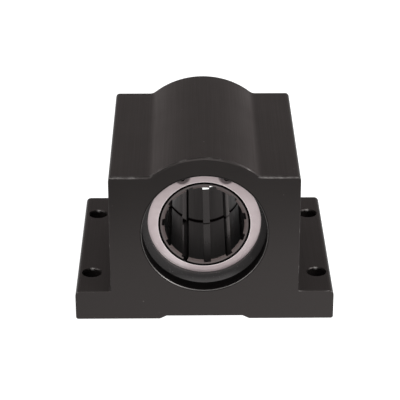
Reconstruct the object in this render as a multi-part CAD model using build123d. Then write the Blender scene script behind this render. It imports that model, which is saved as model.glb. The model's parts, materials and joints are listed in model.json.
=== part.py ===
"""Closed linear pillow block: an extruded housing, and a polymer-lined sleeve bearing between two rings.

Millimetres. X runs across the mounting feet, Y along the shaft, +Z up.
The origin is the centre of the base, on the surface that the feet stand on.
"""
from build123d import *
import os
from math import asin, degrees, radians, sqrt, tan

os.makedirs("parts", exist_ok=True)

# Housing: one extruded profile, the same at both ends
housing_length = 71.37
block_width = 59.9
flange_width = 11.325
flange_thickness = 9.9
shoulder_height = 49.9
shaft_height = 30.15
dome_radius = 26.1
dome_root_radius = 3.0
shoulder_corner_radius = 1.6
foot_corner_radius = 1.6
foot_root_radius = 0.5
foot_edge_radius = 0.8
edge_chamfer = 0.15

# Upper end edges: a steep flat toward the end, and a smaller one that breaks its crest
bevel_height = 0.68
bevel_length = 0.3
crest_break = 0.26

# Relief along the underside, so that the block stands on two flat strips
relief_depth = 1.05
relief_roof_width = 24.4
relief_mouth_width = 28.6

# Bore of the housing
housing_bore_radius = 19.844
rim_chamfer = 0.22

# Screw holes through the feet
screw_edge_distance = 4.76
screw_spacing_y = 44.45
screw_hole_radius = 2.98
screw_hole_chamfer = 0.35

# Metal sleeve of the bearing
sleeve_length = 57.15
sleeve_clearance = 0.02
sleeve_edge_chamfer = 0.5

# Retaining rings: the inner edge is off centre, so that a ring is widest opposite its lugs
ring_thickness = 1.57
ring_side_clearance = 0.16
ring_groove_depth = 1.21
ring_groove_clearance = 0.05
ring_end_play = 0.08
ring_bottom_width = 4.15
ring_inner_offset = 1.12
lug_angle = 22.8
lug_hole_inset = 1.73
lug_hole_radius = 0.95
lug_wall = 0.9
lug_flare = 1.5

# Polymer liner, moulded as two halves that meet in the middle of the sleeve
shaft_radius = 12.7
groove_depth = 0.8
floor_thickness = 0.62
liner_clearance = 0.03
liner_joint_gap = 0.2
land_end_relief = 0.7
lead_in_rise = 0.15
lead_in_length = 0.4
rear_liner_recess = 0.9

# Grooves between the lands of the liner, counted from straight down towards +X
groove_count = 11
groove_width = 2.3
groove_phase = 4.5
slit_groove = -1
front_slit_width = 1.4
rear_slit_width = 0.4
notch_length = 4.4

# Collar near the outer end of each half, seated in a counterbore of the sleeve
collar_height = 0.53
collar_seat_clearance = 0.05
collar_recess = 2.0
collar_length = 1.0

# Sizes and places that follow from those above
foot_width = block_width + 2 * flange_width
screw_spacing_x = foot_width - 2 * screw_edge_distance
half_housing = housing_length / 2
half_sleeve = sleeve_length / 2
sleeve_radius = housing_bore_radius - sleeve_clearance
floor_radius = shaft_radius + groove_depth
liner_radius = floor_radius + floor_thickness
sleeve_bore_radius = liner_radius + liner_clearance
collar_radius = liner_radius + collar_height
counterbore_radius = collar_radius + collar_seat_clearance
counterbore_depth = collar_recess + collar_length
ring_inner_face = half_sleeve + ring_end_play
ring_outer_face = ring_inner_face + ring_thickness
ring_groove_radius = housing_bore_radius + ring_groove_depth
ring_outer_radius = ring_groove_radius - ring_groove_clearance
lug_hole_distance = housing_bore_radius - lug_hole_inset
groove_pitch = 360 / groove_count

# Cutters that run right through reach this far from the middle
cutter_reach = sleeve_length


def write(name, shape):
    shape.label = name
    export_step(shape, "parts/" + name + ".step")


def on_shaft_line(shape):
    """Lifts a shape made round the Y axis to the height of the shaft."""
    return Pos(0, 0, shaft_height) * shape


def turned(half_section):
    """Revolves a closed half section round the Y axis. Each point is (radius, place along the shaft)."""
    return revolve(make_face(Polyline(*half_section, close=True)), Axis.Y)


def mirrored_corners(sketch, x, y):
    """The two corners of a profile at (x, y) and (-x, y)."""
    return sketch.vertices().filter_by(lambda v: abs(abs(v.X) - x) < 0.01 and abs(v.Y - y) < 0.01)


def relief_profile():
    mouth = relief_mouth_width / 2
    roof = relief_roof_width / 2
    corners = [(-mouth, 0), (-roof, relief_depth), (roof, relief_depth), (mouth, 0)]
    return make_face(Polyline(*corners, close=True))


def housing_profile():
    """Cross-section of the extrusion: feet, square shoulders and a dome concentric with the bore.

    The outer corners of the shoulders are left sharp here and rounded on the solid.
    """
    half_foot = foot_width / 2
    half_block = block_width / 2
    dome_root_x = sqrt(dome_radius**2 - (shoulder_height - shaft_height) ** 2)
    profile = Pos(0, flange_thickness / 2) * Rectangle(foot_width, flange_thickness)
    profile += Pos(0, shoulder_height / 2) * Rectangle(block_width, shoulder_height)
    profile += Pos(0, shaft_height) * Circle(dome_radius)
    profile = fillet(mirrored_corners(profile, dome_root_x, shoulder_height), dome_root_radius)
    profile = fillet(mirrored_corners(profile, half_block, flange_thickness), foot_root_radius)
    profile = fillet(mirrored_corners(profile, half_foot, flange_thickness), foot_corner_radius)
    profile = fillet(mirrored_corners(profile, half_foot, 0), foot_edge_radius)
    return profile - relief_profile()


def housing_bore():
    """What is cut for the bore: a chamfer at both rims, and a groove at each end for its retaining ring."""
    ring_groove_inner = ring_outer_face - ring_thickness - ring_side_clearance
    rim = housing_bore_radius + rim_chamfer
    one_end = [
        (housing_bore_radius, ring_groove_inner),
        (ring_groove_radius, ring_groove_inner),
        (ring_groove_radius, ring_outer_face),
        (housing_bore_radius, ring_outer_face),
        (housing_bore_radius, half_housing - rim_chamfer),
        (rim, half_housing),
    ]
    other_end = [(r, -y) for r, y in reversed(one_end)]
    return turned([(0, -half_housing)] + other_end + one_end + [(0, half_housing)])


def screw_hole():
    """Clearance hole up through a foot, with its mouth at the top chamfered."""
    upwards = (Align.CENTER, Align.CENTER, Align.MIN)
    shank = Cylinder(screw_hole_radius, flange_thickness, align=upwards)
    mouth = Cone(screw_hole_radius, screw_hole_radius + screw_hole_chamfer, screw_hole_chamfer, align=upwards)
    return shank + Pos(0, 0, flange_thickness - screw_hole_chamfer) * mouth


def above_shoulders(edges):
    """The edges along the top: those of the shoulders, and of the dome between them."""
    return edges.filter_by(lambda e: e.bounding_box().min.Z > shoulder_height - 0.01)


def outer_body():
    """The extrusion with its shoulder corners rounded and the edges of both ends broken."""
    body = extrude(Plane.XZ * housing_profile(), half_housing, both=True)
    for end in (0, -1):
        face = body.faces().sort_by(Axis.Y)[end]
        body = chamfer(above_shoulders(face.edges()), bevel_height, bevel_length, reference=face)
    crest_y = half_housing - bevel_length
    crests = above_shoulders(body.edges()).filter_by(lambda e: e.bounding_box().size.Y < 0.01)
    crests = crests.filter_by(lambda e: abs(abs(e.center().Y) - crest_y) < 0.01)
    body = chamfer(crests, crest_break)
    corners = above_shoulders(body.edges().filter_by(Axis.Y))
    corners = corners.filter_by(lambda e: abs(abs(e.center().X) - block_width / 2) < 0.01)
    body = fillet(corners, shoulder_corner_radius)
    ends = body.faces().sort_by(Axis.Y)
    outline = ends[0].edges() + ends[-1].edges()
    corner_foot = shoulder_height - shoulder_corner_radius
    lower = outline.filter_by(lambda e: e.bounding_box().max.Z < corner_foot + 0.01)
    return chamfer(lower, edge_chamfer)


def housing():
    body = outer_body() - on_shaft_line(housing_bore())
    for spot in GridLocations(screw_spacing_x, screw_spacing_y, 2, 2):
        body -= spot * screw_hole()
    return body


def bearing_sleeve():
    """Plain cylinder with a stepped bore: a counterbore at each end seats the collar of a liner half."""
    one_end = [
        (sleeve_radius, half_sleeve - sleeve_edge_chamfer),
        (sleeve_radius - sleeve_edge_chamfer, half_sleeve),
        (counterbore_radius, half_sleeve),
        (counterbore_radius, half_sleeve - counterbore_depth),
        (sleeve_bore_radius, half_sleeve - counterbore_depth),
    ]
    other_end = [(r, -y) for r, y in reversed(one_end)]
    return on_shaft_line(turned(one_end + other_end))


def liner_section(end_face):
    """Half section of one liner half, with its collar, its land and the lead-in up to its outer end face."""
    joint = liner_joint_gap / 2
    collar_outer = half_sleeve - collar_recess
    collar_inner = collar_outer - collar_length
    return [
        (floor_radius, joint),
        (liner_radius, joint),
        (liner_radius, collar_inner),
        (collar_radius, collar_inner),
        (collar_radius, collar_outer),
        (liner_radius, collar_outer),
        (liner_radius, end_face),
        (shaft_radius + lead_in_rise, end_face),
        (shaft_radius, end_face - lead_in_length),
        (shaft_radius, joint + land_end_relief),
        (floor_radius, joint + land_end_relief),
    ]


def groove_block(number, low, high, reach):
    """A block from the axis out, in line with one groove: low to high across it, reach both ways along Y."""
    block = Pos((low + high) / 2, 0, -cutter_reach / 2) * Box(high - low, 2 * reach, cutter_reach)
    return Rot(0, -(groove_phase + number * groove_pitch), 0) * block


def liner_half(end, end_face, slit_width, notched):
    """One half of the liner. end is -1 for the front half and 1 for the rear half."""
    side = groove_width / 2
    body = turned([(r, end * y) for r, y in liner_section(end_face)])
    down_to_floor = Rot(90, 0, 0) * Cylinder(floor_radius, 2 * cutter_reach)
    for number in range(groove_count):
        body -= groove_block(number, -side, side, cutter_reach) & down_to_floor
    body -= groove_block(slit_groove, side - slit_width, side, cutter_reach)
    if notched:
        body -= groove_block(slit_groove, -side, side, notch_length + liner_joint_gap / 2)
    return on_shaft_line(body)


def lug(side):
    """A lug of the ring, flared where it leaves the band. side is -1 for the left lug and 1 for the right."""
    lug_radius = lug_hole_radius + lug_wall
    flared = lug_radius + lug_flare
    foot = [(flared, ring_outer_radius), (-flared, ring_outer_radius)]
    neck = [(-lug_radius, lug_hole_distance), (lug_radius, lug_hole_distance)]
    lug_centre = Pos(0, lug_hole_distance)
    upright = make_face(Polyline(*neck, *foot, close=True)) + lug_centre * Circle(lug_radius)
    return Rot(0, 0, -side * lug_angle) * (upright - lug_centre * Circle(lug_hole_radius))


def gap_between_lugs():
    """What is left open at the top of the band, up to the flared sides of the two lugs."""
    half_angle = lug_angle - degrees(asin((lug_hole_radius + lug_wall + lug_flare) / ring_outer_radius))
    half_width = cutter_reach * tan(radians(half_angle))
    return make_face(Polyline((0, 0), (half_width, cutter_reach), (-half_width, cutter_reach), close=True))


def retaining_ring():
    """Front retaining ring: a tapered band with two lugs, pressed from flat sheet."""
    ring_inner_radius = ring_outer_radius - ring_bottom_width + ring_inner_offset
    band = Circle(ring_outer_radius) - Pos(0, ring_inner_offset) * Circle(ring_inner_radius)
    flat = (band - gap_between_lugs()) + lug(-1) + lug(1)
    flat = flat & Circle(ring_outer_radius)
    face = Plane(origin=(0, -ring_inner_face, shaft_height), x_dir=(1, 0, 0), z_dir=(0, -1, 0))
    return extrude(face * flat, ring_thickness)


write("housing", housing())
write("bearing_sleeve", bearing_sleeve())
write("liner_front", liner_half(-1, half_sleeve, front_slit_width, True))
write("liner_rear", liner_half(1, half_sleeve - rear_liner_recess, rear_slit_width, False))
front_ring = retaining_ring()
write("retaining_ring_front", front_ring)
write("retaining_ring_rear", Pos(0, ring_inner_face + ring_outer_face, 0) * front_ring)
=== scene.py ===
"""Looks of a closed linear pillow block bearing: finishes, floor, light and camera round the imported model.

Metres, in the model's own frame: X runs across the mounting feet, Y along the shaft, +Z up.
The origin is the centre of the base, on the surface that the feet stand on.
"""
import json
import math
from functools import partial, reduce

import bpy
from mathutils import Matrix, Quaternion, Vector

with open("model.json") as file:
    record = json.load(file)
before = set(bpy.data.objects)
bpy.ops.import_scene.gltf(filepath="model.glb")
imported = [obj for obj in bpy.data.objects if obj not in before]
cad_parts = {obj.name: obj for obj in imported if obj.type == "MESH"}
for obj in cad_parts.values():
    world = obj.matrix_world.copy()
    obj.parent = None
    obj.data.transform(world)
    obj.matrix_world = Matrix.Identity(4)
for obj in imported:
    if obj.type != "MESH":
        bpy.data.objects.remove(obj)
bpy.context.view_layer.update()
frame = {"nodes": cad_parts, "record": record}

MM = 0.001

# Camera, fitted to the outline of the block in the photograph
CAMERA_PLACE = Vector((-4.819, -520.412, 267.183)) * MM
CAMERA_YAW = math.radians(0.401)
CAMERA_PITCH = math.radians(24.915)
CAMERA_ROLL = math.radians(0.065)
CAMERA_LENS = 154.67
CAMERA_SENSOR = 36.0
CAMERA_CLIP = 0.01

# Floor: a white light table, with its strength at a row of places along the shaft's line, from in front
# of the block to well behind it. The left row and the right row blend between FLOOR_SIDES.
FLOOR_SIZE = 4.0
FLOOR_DROP = 0.02 * MM
FLOOR_PLACES = (-0.26, -0.18, -0.13, -0.09, -0.05, 0.3, 0.45)
FLOOR_LEFT = (0.5, 0.3, 0.05, 1.03, 1.03, 1.03, 0.5)
FLOOR_RIGHT = (0.5, 0.4, 0.5, 1.4, 1.39, 1.2, 0.5)
FLOOR_SIDES = (-0.06, 0.06)
FLOOR_GLOW = ((0.98, 0.98, 0.98), (1, 1, 1))
FLOOR_COLOURS = ((0.1, 0.1, 0.1), (0.12, 0.12, 0.12))
FLOOR_ROUGHNESS = 0.85

# Light tent: strength at each height of the sky, the sine of its elevation, on three sides of the block,
# and how far along the shaft's line a direction points where the sides blend into the back and the front
SKY_HEIGHTS = (0.0, 0.25, 0.45, 0.7, 1.0)
SKY_BACK = (0.88, 0.26, 0.42, 0.05, 0.05)
SKY_SIDE = (0.08, 0.08, 0.08, 0.08, 0.05)
SKY_FRONT = (0.05, 0.05, 0.1, 0.1, 0.05)
BACK_TINT = (1.04, 0.93, 0.91)
BACK_TURN = (0.3, 0.8)
FRONT_TURN = (-0.3, -0.8)

# Softboxes: name, place, size and watts
SOFTBOXES = (
    ("overhead", (0, -0.29, 0.62), (0.6, 0.39), 1.5),
    ("left", (-0.55, -0.23, 0.4), (0.35, 0.35), 3.1),
    ("right", (0.51, -0.24, 0.46), (0.35, 0.35), 4.1),
    ("front", (-0.01, -0.68, 0.34), (0.32, 0.2), 1.3),
)
SOFTBOX_TARGET = Vector((0, 0, 0.03))

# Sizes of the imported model
SEAT_GAP = 0.05 * MM
COLLAR_STEP = 0.58 * MM
nodes = frame["nodes"]
mounts = {mount["name"]: mount for mount in frame["record"]["mounts"]}
bore = mounts["shaft_bore"]
SHAFT_HEIGHT = bore["pos_m"][2]
SHAFT_RADIUS = bore["dims"]["r_mm"] * MM
LINER_END = bore["dims"]["length_mm"] * MM / 2
LINER_SEAT = nodes["liner_front"].dimensions.x / 2 + SEAT_GAP
LINER_OUTSIDE = LINER_SEAT - COLLAR_STEP
SLEEVE_RADIUS = nodes["bearing_sleeve"].dimensions.x / 2
SLEEVE_END = nodes["bearing_sleeve"].dimensions.y / 2
HOUSING_END = nodes["housing"].dimensions.y / 2
RING_RADIUS = nodes["retaining_ring_front"].dimensions.x / 2
SCREW_X = mounts["screw_pattern"]["dims"]["spacing_x_mm"] * MM / 2
FOOT_TOP = 9.9 * MM
SIDE_WALL = 29.95 * MM
LUG_X = 7.02 * MM
LUG_Z = 46.85 * MM

# Textures: cells in a metre, along each axis where there are three, and then the detail. Most of a noise
# lies in NOISE_RANGE.
DRAWN_LINES = (5200, 26, 5200, 3)
MILLED_LINES = (60, 60, 5200, 2)
ANODISED_GRAIN = (9000, 1)
ANODISED_CLOUD = (60, 3)
WEAR_PATCHES = (460, 3)
DUST_SPECKS = (1200, 1)
TURNED_RINGS = (9000, 3)
TURNED_GRAIN = (5200, 2)
TURNED_CLOUD = (420, 4)
MOULDED_STREAKS = (2400, 30, 2400, 2)
MOULDED_GRAIN = (7000, 2)
STEEL_CRYSTALS = (6500, 2)
STEEL_SPECKS = (2600, 3)
TABLE_GRAIN = (900, 2)
NOISE_RANGE = (0.3, 0.7)

# Depths of the relief
LINE_DEPTH = 0.003 * MM
ANODISED_DEPTH = 0.0015 * MM
TURNED_DEPTH = 0.006 * MM
MOULDED_DEPTH = 0.0015 * MM
CRYSTAL_DEPTH = 0.01 * MM
TABLE_DEPTH = 0.01 * MM

# The pairs from here on are of four kinds: where a change begins and where it is complete; a value
# before a change and after it; the darkest and the lightest colour of a surface; and, in SIDE, a
# direction across the shaft, as how far right and how far up. FACING is a cosine to the shaft's line,
# TILT a cosine to the line across the feet and ARC a cosine to a direction across the shaft. OUT is a
# distance across the shaft, UP a height and ZONE a distance along the shaft.

# Housing: the chamfers at its ends, its end faces and its outside
SLOPE_FACING = (0.5, 0.62)
STEEP_FACING = (0.8, 0.92)
END_FACING = (0.93, 0.98)
END_ZONE = (HOUSING_END - 1.2 * MM, HOUSING_END - 0.9 * MM)
OUTSIDE_BORE = (SLEEVE_RADIUS + 0.3 * MM, SLEEVE_RADIUS + 0.6 * MM)

# Housing: the top edges of its shoulders, and its screw holes, with SCREW_OUT from a row's own line
SHOULDER_OUT = (15 * MM, 17 * MM)
SHOULDER_UP = (46 * MM, 48 * MM)
SCREW_OUT = (3.4 * MM, 3.74 * MM)
SCREW_ZONE = (30 * MM, 31 * MM)
MOUTH_FACING = (0.5, 0.6)
MOUTH_TILT = (0.04, 0.2)
MOUTH_UP = (FOOT_TOP - 0.9 * MM, FOOT_TOP - 0.6 * MM)
HOLE_UP = (FOOT_TOP - 1.2 * MM, FOOT_TOP - 0.6 * MM)

# Housing: wear down to the metal on the edges, and painted glints of bare metal on the lower left of the
# bore's rim and on the screw holes' mouths. PATCH_BEGINS and EDGE_WEAR are for the other edges, then for
# the shoulders.
PATCH_BEGINS = (0.58, 0.4)
PATCH_COMPLETE = 0.72
EDGE_WEAR = (0.5, 0.55)
# Painted glint of bare metal on the screw holes' mouths, where they face along the shaft
HOLE_GLINT = (0.8, 0)
# Painted glint of bare metal on the lower left of the bore's rim
RIM_GLINT_SIDE = (-0.57, -0.82)
RIM_GLINT_ARC = (0.87, 0.98)
RIM_GLINT = (0.4, 0.64)
METAL_SHARE = 0.9

# Housing: gloss inside the bore and outside it, and the share of that gloss off and on three places:
# the screw holes, the upright chamfers and the rounded edges above the side walls
BORE_GLOSS = (0.05, 0.38)
HOLE_GLOSS = (1, 0.1)
UPRIGHT_GLOSS = (1, 0.7)
UPRIGHT_TILT = (0.5, 0.6)
TOP_EDGE_GLOSS = (1, 0.4)
TOP_EDGE_TILT = (0.2, 0.4)
SIDE_WALL_TILT = (0.93, 0.99)
TOP_EDGE_FACING = (0.3, 0.5)
TOP_EDGE_OUT = (SIDE_WALL - 1.6 * MM, SIDE_WALL - 1.2 * MM)
LINE_ROUGHNESS = (0.36, 0.43)
CLOUD_ROUGHER = (0, 0.04)
END_SMOOTHER = (0, 0.09)
HOUSING_TINT = (1.0, 0.9, 0.88)

# Housing: colours
ANODISED_COLOURS = ((0.0045, 0.0038, 0.0036), (0.006, 0.0052, 0.0049))
# Painted shade inside the bore, darker than the black anodising outside
BORE_SHADE_COLOUR = (0.0012, 0.001, 0.001)
DUST_COLOUR = (0.14, 0.13, 0.125)
DUST_RANGE = (0.8, 0.83)
DUST_SHARE = 0.8
WEAR_AND_GLINT_COLOUR = (0.2, 0.19, 0.185)

# Sleeve: its end face, with painted shade at the top and at the bottom, a painted highlight fanning out at
# the lower left and a painted highlight on the lip round the liner
FACE_COLOURS = ((0.56, 0.465, 0.475), (0.72, 0.63, 0.635))
SHADED_FACE_COLOUR = (0.3, 0.24, 0.245)
# Painted highlight fanning out at the lower left of the sleeve's end face
FAN_HIGHLIGHT_COLOUR = (0.86, 0.77, 0.775)
# Painted highlight on the lip round the liner
LIP_HIGHLIGHT_COLOUR = (0.86, 0.78, 0.78)
SHADE_COLOUR = (0.004, 0.0035, 0.0035)
TOP_SIDE = (0, 1)
TOP_ARC = (0.35, 0.75)
TOP_SHARE = (0, 0.3)
BOTTOM_SIDE = (0.15, -0.99)
BOTTOM_ARC = (0.7, 0.98)
BOTTOM_SHARE = (0.08, 0.33)
FAN_SIDE = (-0.62, -0.785)
FAN_ARC = (0.93, 0.985)
FAN_SHARE = (0, 0.45)
LIP_OUT = (LINER_SEAT + 0.05 * MM, LINER_SEAT + 0.3 * MM)
SEAT_OUT = (LINER_SEAT + 1.3 * MM, LINER_SEAT + 1.6 * MM)
FACE_FACING = (0.6, 0.8)
FACE_ZONE = (SLEEVE_END - 0.3 * MM, SLEEVE_END - 0.15 * MM)
SLEEVE_METALLIC = 0.5
SLEEVE_ROUGHNESS = (0.38, 0.52)

# Lugs of the rings, by distance from the nearer lug hole: the hole, with painted shade through it, the lip,
# with a painted highlight, and the painted shadow round the lug
LUG_HOLE_OUT = (1.1 * MM, 1.4 * MM)
LUG_LIP_OUT = (2.1 * MM, 2.5 * MM)
LUG_BAND_OUT = (17.2 * MM, 17.9 * MM)
# Painted highlight on the lip round each lug hole
LUG_LIP_HIGHLIGHT_COLOUR = (0.128, 0.104, 0.106)
LUG_SHADOW_OUT = (2.4 * MM, 3 * MM)
LUG_SHADOW_SHARE = (0.92, 0)
LUG_SHADOW_COLOUR = (0.11, 0.086, 0.088)

# Liner: its grooves and flanks, the way in from the mouth, where the groove floors get painted shade, and
# the break at mid-length, painted in shade, which is narrower in the grooves
GROOVE_OUT = (SHAFT_RADIUS + 0.6 * MM, SHAFT_RADIUS + 0.78 * MM)
FLANK_ARC = (0.35, 0.75)
MOUTH_ZONE = (-LINER_END, 17 * MM - LINER_END)
MOUTH_SHARE = 0.8
BREAK_ZONE = (1.2 * MM, 1.5 * MM)
BREAK_IN_GROOVE = 0.8 * MM

# Liner: its cut ends, and painted shade on the faces that lie across the shaft or at its outer rim
CUT_ZONE = (LINER_END - 0.5 * MM, LINER_END - 0.3 * MM)
CUT_OUT = (LINER_OUTSIDE - 0.2 * MM, LINER_OUTSIDE - 0.05 * MM)
CUT_FACING = (0.2, 0.3)
ACROSS_FACING = (0.3, 0.5)
RIM_OUT = (LINER_OUTSIDE - 0.1 * MM, LINER_OUTSIDE)

# Liner: colours and gloss
LAND_COLOURS = ((0.0024, 0.0024, 0.0024), (0.0044, 0.0044, 0.0043))
GROOVE_COLOURS = ((0.008, 0.008, 0.0078), (0.012, 0.012, 0.0117))
CUT_COLOURS = ((0.088, 0.068, 0.065), (0.138, 0.109, 0.105))
LINER_SHADE_COLOUR = (0.0036, 0.0016, 0.0016)
LAND_ROUGHNESS = (0.35, 0.42)
FLANK_ROUGHER = (0, 0.08)
GROOVE_ROUGHNESS = (0.17, 0.5)
CUT_ROUGHNESS = 0.55
LAND_GLOSS = (0.31, 0.27)
MOUTH_GLOSS = 0.11
GROOVE_ARC = (0.3, 0.6)
GROOVE_GLOSS = (0.54, 0.42)
DARK_GLOSS = 0.05
LINER_TINT = (0.92, 1.0, 1.02)

# Rings: painted light, brighter on the lower rim, but less on its right, and a little on the whole lower
# band and on the left flank
DULL_COLOURS = ((0.0115, 0.0105, 0.0105), (0.0215, 0.0195, 0.0195))
PAINTED_LIT_COLOURS = ((0.092, 0.088, 0.088), (0.148, 0.142, 0.142))
SPECK_COLOUR = (0.16, 0.155, 0.155)
SPECK_RANGE = (0.66, 0.76)
LOWER_SIDE = (0.168, -0.986)
LOWER_ARC = (0.63, 0.97)
LOWER_OUT = (RING_RADIUS - 3.6 * MM, RING_RADIUS - 1.2 * MM)
LOWER_SHARE = (0, 0.9)
RIGHT_ARC = (0.42, 0.7)
RIGHT_SHARE = (1, 0.25)
BAND_ARC = (0.63, 0.77)
BAND_SHARE = (0, 0.17)
LEFT_ARC = (-0.5, 0.1)
LEFT_SHARE = (0.27, 0.04)
STEEL_GLOSS = 0.15
STEEL_ROUGHNESS = (0.46, 0.6)


class Nodes:
    """A node tree while it is being made, with a short call for each node that is used often."""

    def __init__(self, tree):
        self.tree = tree

    def add(self, kind, **settings):
        node = self.tree.nodes.new(kind)
        for key, value in settings.items():
            setattr(node, key, value)
        return node

    def feed(self, socket, value):
        """Links an output to the socket, or sets a plain number, vector or colour on it."""
        if isinstance(value, bpy.types.NodeSocket):
            self.tree.links.new(value, socket)
        elif socket.type == "RGBA":
            socket.default_value = (*value, 1)
        else:
            socket.default_value = value

    def math(self, operation, a, b=0.0):
        node = self.add("ShaderNodeMath", operation=operation)
        self.feed(node.inputs[0], a)
        self.feed(node.inputs[1], b)
        return node.outputs[0]

    def product(self, *values):
        return reduce(partial(self.math, "MULTIPLY"), values)

    def largest(self, *values):
        return reduce(partial(self.math, "MAXIMUM"), values)

    def hypotenuse(self, a, b):
        squares = self.math("ADD", self.math("MULTIPLY", a, a), self.math("MULTIPLY", b, b))
        return self.math("SQRT", squares)

    def parts(self, vector):
        """The X, Y and Z of a vector."""
        node = self.add("ShaderNodeSeparateXYZ")
        self.feed(node.inputs[0], vector)
        return node.outputs

    def span(self, value, low, high, at_low=0.0, at_high=1.0):
        """value from low to high becomes at_low to at_high, and stays there outside."""
        node = self.add("ShaderNodeMapRange")
        for socket, number in zip(node.inputs, (value, low, high, at_low, at_high)):
            self.feed(socket, number)
        return node.outputs[0]

    def until(self, value, low, high):
        """1 up to low, and 0 from high on."""
        return self.span(value, low, high, 1, 0)

    def blend(self, share, a, b):
        """Number a where share is 0 and number b where it is 1."""
        return self.span(share, 0, 1, a, b)

    def mix(self, share, a, b):
        """Colour a where share is 0 and colour b where it is 1."""
        node = self.add("ShaderNodeMix", data_type="RGBA")
        self.feed(node.inputs["Factor"], share)
        self.feed(node.inputs[6], a)
        self.feed(node.inputs[7], b)
        return node.outputs[2]

    def ramp(self, value, places, strengths, tint=(1, 1, 1)):
        """The tint times each strength where value is at its place, and blended in between."""
        node = self.add("ShaderNodeValToRGB")
        self.feed(node.inputs[0], value)
        stops = node.color_ramp.elements
        while len(stops) < len(places):
            stops.new(1.0)
        for stop, place, strength in zip(stops, places, strengths):
            stop.position = place
            stop.color = [strength * share for share in tint] + [1]
        return node.outputs["Color"]


class Finish(Nodes):
    """A node material while it is being made, with the textures and places that the finishes share."""

    def __init__(self, name):
        self.material = bpy.data.materials.new(name)
        self.material.use_nodes = True
        super().__init__(self.material.node_tree)
        self.shader = self.tree.nodes["Principled BSDF"]
        self.place = self.add("ShaderNodeTexCoord").outputs["Object"]
        self.normal = self.add("ShaderNodeNewGeometry").outputs["Normal"]

    def put(self, name, value):
        """Sets or links the shader's own input of that name."""
        self.feed(self.shader.inputs[name], value)

    def close(self, colour, roughness, relief):
        self.put("Base Color", colour)
        self.put("Roughness", roughness)
        self.put("Normal", relief)
        return self.material

    def noise_at(self, where, scale, detail):
        node = self.add("ShaderNodeTexNoise")
        self.feed(node.inputs["Vector"], where)
        self.feed(node.inputs["Scale"], scale)
        self.feed(node.inputs["Detail"], detail)
        return node.outputs["Fac"]

    def noise(self, scale, detail):
        """Noise at the place on the piece, the same size in all directions."""
        return self.noise_at(self.place, scale, detail)

    def lines(self, x, y, z, detail):
        """Noise at the place on the piece, with its own scale along each axis."""
        stretched = self.add("ShaderNodeVectorMath", operation="MULTIPLY")
        self.feed(stretched.inputs[0], self.place)
        self.feed(stretched.inputs[1], (x, y, z))
        return self.noise_at(stretched.outputs[0], 1, detail)

    def rings(self, scale, detail):
        """Noise that changes with the distance from the shaft's axis alone."""
        along = self.add("ShaderNodeCombineXYZ")
        self.feed(along.inputs[0], self.math("MULTIPLY", self.from_axis(), scale))
        return self.noise_at(along.outputs[0], 1, detail)

    def spread(self, noise, at_low, at_high):
        """The range that most of a noise lies in becomes at_low to at_high."""
        return self.span(noise, *NOISE_RANGE, at_low, at_high)

    def bump(self, height, depth, under=None):
        """Relief of that depth in metres, on top of another relief where one is given."""
        node = self.add("ShaderNodeBump")
        self.feed(node.inputs["Strength"], 1.0)
        self.feed(node.inputs["Distance"], depth)
        self.feed(node.inputs["Height"], height)
        if under is not None:
            self.feed(node.inputs["Normal"], under)
        return node.outputs[0]

    def facing(self):
        """How squarely the surface faces along the shaft, as a cosine."""
        return self.math("ABSOLUTE", self.parts(self.normal)[1])

    def from_middle(self):
        """Distance along the shaft from the middle of the block."""
        return self.math("ABSOLUTE", self.parts(self.place)[1])

    def from_axis(self):
        """Distance from the shaft's axis."""
        x, _, z = self.parts(self.place)
        return self.hypotenuse(x, self.math("SUBTRACT", z, SHAFT_HEIGHT))

    def toward(self, right, up):
        """Cosine of the angle, about the shaft's axis, between this place and the direction right and up."""
        x, _, z = self.parts(self.place)
        rise = self.math("SUBTRACT", z, SHAFT_HEIGHT)
        along = self.math("ADD", self.math("MULTIPLY", x, right), self.math("MULTIPLY", rise, up))
        return self.math("DIVIDE", along, self.from_axis())

    def from_lug(self):
        """Distance from the nearer lug hole of the rings, across the shaft."""
        x, _, z = self.parts(self.place)
        out = self.math("SUBTRACT", self.math("ABSOLUTE", x), LUG_X)
        return self.hypotenuse(out, self.math("SUBTRACT", z, LUG_Z))


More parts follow.
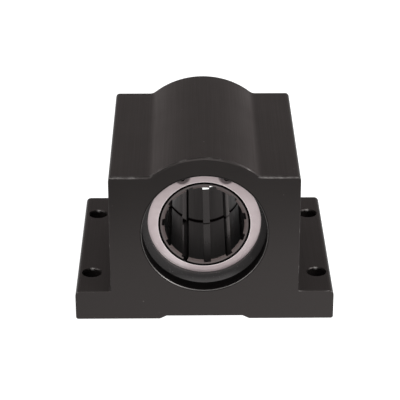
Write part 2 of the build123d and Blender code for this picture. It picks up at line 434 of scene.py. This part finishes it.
def anodised_black():
    """Housing: satin black anodised extrusion, with drawn lines, milled ends and edges with wear in places,
    and painted glints on the bore's rim and the screw holes' mouths and painted shade in the bore.
    """
    finish = Finish("anodised_black")
    x, _, z = finish.parts(finish.place)
    across = finish.math("ABSOLUTE", x)
    tilt = finish.math("ABSOLUTE", finish.parts(finish.normal)[0])
    facing = finish.facing()
    from_middle = finish.from_middle()
    from_screw = finish.math("ABSOLUTE", finish.math("SUBTRACT", across, SCREW_X))

    on_end = finish.span(facing, *END_FACING)
    by_end = finish.span(from_middle, *END_ZONE)
    sloping = finish.span(facing, *SLOPE_FACING)
    end_chamfer = finish.math("MINIMUM", sloping, finish.until(facing, *STEEP_FACING))
    end_chamfer = finish.product(end_chamfer, by_end)
    end_edge = finish.product(sloping, by_end, finish.until(facing, *END_FACING))
    outside = finish.span(finish.from_axis(), *OUTSIDE_BORE)
    shoulder = finish.product(finish.span(across, *SHOULDER_OUT), finish.span(z, *SHOULDER_UP))
    by_screw = finish.product(finish.until(from_screw, *SCREW_OUT), finish.until(from_middle, *SCREW_ZONE))

    # Wear on the edges, and painted glints on the lower left of the bore's rim and on the screw holes'
    # mouths
    patch_begins = finish.blend(shoulder, *PATCH_BEGINS)
    patches = finish.span(finish.noise(*WEAR_PATCHES), patch_begins, PATCH_COMPLETE)
    edges = finish.product(finish.blend(shoulder, end_chamfer, end_edge), patches, outside)
    edges = finish.product(edges, finish.blend(shoulder, *EDGE_WEAR))
    # Painted glint of bare metal on the lower left of the bore's rim
    painted_light = finish.span(finish.toward(*RIM_GLINT_SIDE), *RIM_GLINT_ARC, *RIM_GLINT)
    rim = finish.product(end_chamfer, finish.blend(outside, painted_light, 0))
    # Painted glint of bare metal on the screw holes' mouths, where they face along the shaft
    mouths = finish.product(
        finish.span(facing, *MOUTH_FACING),
        finish.span(tilt, *MOUTH_TILT, *HOLE_GLINT),
        finish.span(z, *MOUTH_UP),
        by_screw,
    )
    wear_and_glints = finish.largest(edges, rim, mouths)

    cloud = finish.noise(*ANODISED_CLOUD)
    dust = finish.math("MULTIPLY", finish.span(finish.noise(*DUST_SPECKS), *DUST_RANGE), DUST_SHARE)
    tone = finish.mix(dust, finish.mix(cloud, *ANODISED_COLOURS), DUST_COLOUR)
    # Painted shade: inside the bore the black anodising is painted darker
    tone = finish.mix(outside, BORE_SHADE_COLOUR, tone)
    colour = finish.mix(wear_and_glints, tone, WEAR_AND_GLINT_COLOUR)
    finish.put("Metallic", finish.math("MULTIPLY", wear_and_glints, METAL_SHARE))

    in_hole = finish.product(by_screw, finish.until(z, *HOLE_UP))
    upright = finish.product(end_chamfer, finish.span(tilt, *UPRIGHT_TILT))
    top_edge = finish.product(
        finish.span(tilt, *TOP_EDGE_TILT),
        finish.until(tilt, *SIDE_WALL_TILT),
        finish.until(facing, *TOP_EDGE_FACING),
        finish.span(across, *TOP_EDGE_OUT),
    )
    gloss = finish.product(
        finish.blend(outside, *BORE_GLOSS),
        finish.blend(in_hole, *HOLE_GLOSS),
        finish.blend(upright, *UPRIGHT_GLOSS),
        finish.blend(top_edge, *TOP_EDGE_GLOSS),
    )
    finish.put("Specular IOR Level", gloss)
    finish.put("Specular Tint", HOUSING_TINT)

    lines = finish.blend(on_end, finish.lines(*DRAWN_LINES), finish.lines(*MILLED_LINES))
    roughness = finish.spread(lines, *LINE_ROUGHNESS)
    roughness = finish.math("ADD", roughness, finish.spread(cloud, *CLOUD_ROUGHER))
    roughness = finish.math("SUBTRACT", roughness, finish.blend(on_end, *END_SMOOTHER))
    grain = finish.bump(finish.noise(*ANODISED_GRAIN), ANODISED_DEPTH)
    return finish.close(colour, roughness, finish.bump(lines, LINE_DEPTH, grain))


def turned_aluminium():
    """Sleeve: pale pinkish clear-anodised aluminium, with the fine rings of turning on its end faces,
    painted shade at the top and bottom of the end face, round and through the ring lugs and on its bore,
    and painted highlights on a fan at the lower left and on the lip round the liner.
    """
    finish = Finish("turned_aluminium")
    radius = finish.from_axis()
    from_lug = finish.from_lug()

    # Painted shade at the top and at the bottom of the end face
    top = finish.span(finish.toward(*TOP_SIDE), *TOP_ARC, *TOP_SHARE)
    bottom = finish.span(finish.toward(*BOTTOM_SIDE), *BOTTOM_ARC, *BOTTOM_SHARE)
    # Painted highlight fanning out at the lower left
    fan_highlight = finish.span(finish.toward(*FAN_SIDE), *FAN_ARC, *FAN_SHARE)
    face = finish.mix(finish.noise(*TURNED_CLOUD), *FACE_COLOURS)
    face = finish.mix(finish.largest(top, bottom), face, SHADED_FACE_COLOUR)
    face = finish.mix(fan_highlight, face, FAN_HIGHLIGHT_COLOUR)
    # Painted highlight on the lip round the liner
    face = finish.mix(finish.span(radius, *LIP_OUT), LIP_HIGHLIGHT_COLOUR, face)
    # Painted shadow on the sleeve round each lug of the ring, and painted shade seen through its hole
    face = finish.mix(finish.span(from_lug, *LUG_SHADOW_OUT, *LUG_SHADOW_SHARE), face, LUG_SHADOW_COLOUR)
    face = finish.mix(finish.until(from_lug, *LUG_HOLE_OUT), face, SHADE_COLOUR)

    on_face = finish.span(finish.from_middle(), *FACE_ZONE)
    on_face = finish.product(on_face, finish.span(finish.facing(), *FACE_FACING))
    past_seat = finish.span(radius, *SEAT_OUT)
    colour = finish.mix(finish.largest(on_face, past_seat), SHADE_COLOUR, face)
    finish.put("Metallic", SLEEVE_METALLIC)

    grain = finish.noise(*TURNED_GRAIN)
    roughness = finish.spread(grain, *SLEEVE_ROUGHNESS)
    relief = finish.bump(finish.rings(*TURNED_RINGS), TURNED_DEPTH, finish.bump(grain, TURNED_DEPTH))
    return finish.close(colour, roughness, relief)


def bearing_polymer():
    """Liner: satin lands, glossier groove floors, both duller by the front mouth, and grey cut ends.
    Painted shade lies on the groove floors by the mouth, in the break, across the shaft and at the rim.
    """
    finish = Finish("bearing_polymer")
    streaks = finish.lines(*MOULDED_STREAKS)
    grain = finish.noise(*MOULDED_GRAIN)
    x, y, _ = finish.parts(finish.place)
    radius = finish.from_axis()
    facing = finish.facing()
    from_middle = finish.from_middle()
    to_right = finish.math("DIVIDE", x, radius)

    in_groove = finish.span(radius, *GROOVE_OUT)
    on_flank = finish.span(finish.math("ABSOLUTE", to_right), *FLANK_ARC)
    by_mouth = finish.until(y, *MOUTH_ZONE)
    past_break = finish.math("ADD", from_middle, finish.math("MULTIPLY", in_groove, BREAK_IN_GROOVE))
    by_break = finish.until(past_break, *BREAK_ZONE)
    cut = finish.product(
        finish.span(from_middle, *CUT_ZONE),
        finish.until(radius, *CUT_OUT),
        finish.span(facing, *CUT_FACING),
    )
    across = finish.span(facing, *ACROSS_FACING)
    outside = finish.span(radius, *RIM_OUT)
    groove_mouth = finish.product(by_mouth, in_groove, MOUTH_SHARE)
    # Painted shade: faces across the shaft, the outer rim, the groove floors by the front mouth and the
    # break
    painted_shade = finish.largest(across, outside, groove_mouth, by_break)

    colour = finish.mix(in_groove, finish.mix(streaks, *LAND_COLOURS), finish.mix(streaks, *GROOVE_COLOURS))
    colour = finish.mix(painted_shade, colour, LINER_SHADE_COLOUR)
    colour = finish.mix(cut, colour, finish.mix(grain, *CUT_COLOURS))

    roughness = finish.spread(streaks, *LAND_ROUGHNESS)
    roughness = finish.math("ADD", roughness, finish.blend(on_flank, *FLANK_ROUGHER))
    roughness = finish.blend(in_groove, roughness, finish.blend(by_mouth, *GROOVE_ROUGHNESS))
    roughness = finish.blend(cut, roughness, CUT_ROUGHNESS)

    land_gloss = finish.blend(by_mouth, finish.blend(on_flank, *LAND_GLOSS), MOUTH_GLOSS)
    groove_gloss = finish.span(to_right, *GROOVE_ARC, *GROOVE_GLOSS)
    gloss = finish.blend(in_groove, land_gloss, groove_gloss)
    gloss = finish.blend(finish.math("SUBTRACT", painted_shade, cut), gloss, DARK_GLOSS)
    finish.put("Specular IOR Level", gloss)
    finish.put("Specular Tint", LINER_TINT)
    relief = finish.bump(streaks, MOULDED_DEPTH, finish.bump(grain, MOULDED_DEPTH))
    return finish.close(colour, roughness, relief)


def phosphated_steel():
    """Rings: dull phosphated spring steel, with painted light round the lower rim and on the left flank."""
    finish = Finish("phosphated_steel")
    crystals = finish.noise(*STEEL_CRYSTALS)
    radius = finish.from_axis()
    to_right = finish.math("DIVIDE", finish.parts(finish.place)[0], radius)
    downward = finish.toward(*LOWER_SIDE)

    # Painted light: the lower rim, the lower band and the left flank are lit brighter than the sides
    lower_rim = finish.product(
        finish.span(downward, *LOWER_ARC),
        finish.span(to_right, *RIGHT_ARC, *RIGHT_SHARE),
        finish.span(radius, *LOWER_OUT, *LOWER_SHARE),
    )
    lower_band = finish.span(downward, *BAND_ARC, *BAND_SHARE)
    left_flank = finish.span(to_right, *LEFT_ARC, *LEFT_SHARE)
    painted_light = finish.largest(lower_rim, lower_band, left_flank)
    # Painted highlight on the lip round each lug hole
    lug_lip_highlight = finish.until(finish.from_lug(), *LUG_LIP_OUT)
    lug_lip_highlight = finish.product(lug_lip_highlight, finish.until(radius, *LUG_BAND_OUT))
    specks = finish.span(finish.noise(*STEEL_SPECKS), *SPECK_RANGE)

    colour = finish.mix(painted_light, finish.mix(crystals, *DULL_COLOURS), finish.mix(crystals, *PAINTED_LIT_COLOURS))
    colour = finish.mix(specks, colour, SPECK_COLOUR)
    colour = finish.mix(lug_lip_highlight, colour, LUG_LIP_HIGHLIGHT_COLOUR)
    finish.put("Specular IOR Level", STEEL_GLOSS)
    roughness = finish.spread(crystals, *STEEL_ROUGHNESS)
    return finish.close(colour, roughness, finish.bump(crystals, CRYSTAL_DEPTH))


def light_table():
    """White floor that glows, less so in front of the block."""
    finish = Finish("light_table")
    grain = finish.noise(*TABLE_GRAIN)
    x, y, _ = finish.parts(finish.place)
    start, end = FLOOR_PLACES[0], FLOOR_PLACES[-1]
    places = [(place - start) / (end - start) for place in FLOOR_PLACES]
    along = finish.span(y, start, end)
    left = finish.ramp(along, places, FLOOR_LEFT)
    right = finish.ramp(along, places, FLOOR_RIGHT)
    finish.put("Emission Strength", finish.mix(finish.span(x, *FLOOR_SIDES), left, right))
    finish.put("Emission Color", finish.mix(grain, *FLOOR_GLOW))
    relief = finish.bump(grain, TABLE_DEPTH)
    return finish.close(finish.mix(grain, *FLOOR_COLOURS), FLOOR_ROUGHNESS, relief)


def dress(name, material):
    """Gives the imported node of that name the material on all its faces."""
    node = nodes[name]
    for slot in node.material_slots:
        slot.material = material
    if not node.material_slots:
        node.data.materials.append(material)


def add_floor():
    bpy.ops.mesh.primitive_plane_add(size=FLOOR_SIZE, location=(0, 0, -FLOOR_DROP))
    floor = bpy.context.active_object
    floor.name = "floor"
    floor.data.materials.append(light_table())


def add_sky():
    """Light tent round the block: each side has its own strength at each height, blended smoothly."""
    world = bpy.data.worlds.new("studio")
    bpy.context.scene.world = world
    world.use_nodes = True
    sky = Nodes(world.node_tree)
    _, back, height = sky.parts(sky.add("ShaderNodeTexCoord").outputs["Generated"])
    colour = sky.ramp(height, SKY_HEIGHTS, SKY_SIDE)
    colour = sky.mix(sky.span(back, *BACK_TURN), colour, sky.ramp(height, SKY_HEIGHTS, SKY_BACK, BACK_TINT))
    colour = sky.mix(sky.span(back, *FRONT_TURN), colour, sky.ramp(height, SKY_HEIGHTS, SKY_FRONT))
    sky.feed(world.node_tree.nodes["Background"].inputs["Color"], colour)


def add_softbox(name, place, size, power):
    light = bpy.data.lights.new(name, "AREA")
    light.shape = "RECTANGLE"
    light.size, light.size_y = size
    light.energy = power
    box = bpy.data.objects.new(name, light)
    box.location = place
    box.rotation_euler = (SOFTBOX_TARGET - Vector(place)).to_track_quat("-Z", "Y").to_euler()
    bpy.context.scene.collection.objects.link(box)


def add_camera():
    data = bpy.data.cameras.new("camera")
    data.sensor_width = CAMERA_SENSOR
    data.lens = CAMERA_LENS
    data.clip_start = CAMERA_CLIP
    camera = bpy.data.objects.new("camera", data)
    level = math.cos(CAMERA_PITCH)
    forward = Vector((math.sin(CAMERA_YAW) * level, math.cos(CAMERA_YAW) * level, -math.sin(CAMERA_PITCH)))
    roll = Quaternion((0, 0, 1), -CAMERA_ROLL)
    camera.location = CAMERA_PLACE
    camera.rotation_euler = (forward.to_track_quat("-Z", "Y") @ roll).to_euler()
    bpy.context.scene.collection.objects.link(camera)
    bpy.context.scene.camera = camera


dress("housing", anodised_black())
dress("bearing_sleeve", turned_aluminium())
polymer = bearing_polymer()
steel = phosphated_steel()
for end in ("front", "rear"):
    dress("liner_" + end, polymer)
    dress("retaining_ring_" + end, steel)

add_floor()
add_sky()
for softbox in SOFTBOXES:
    add_softbox(*softbox)
add_camera()
bpy.context.scene.view_settings.view_transform = "Standard"
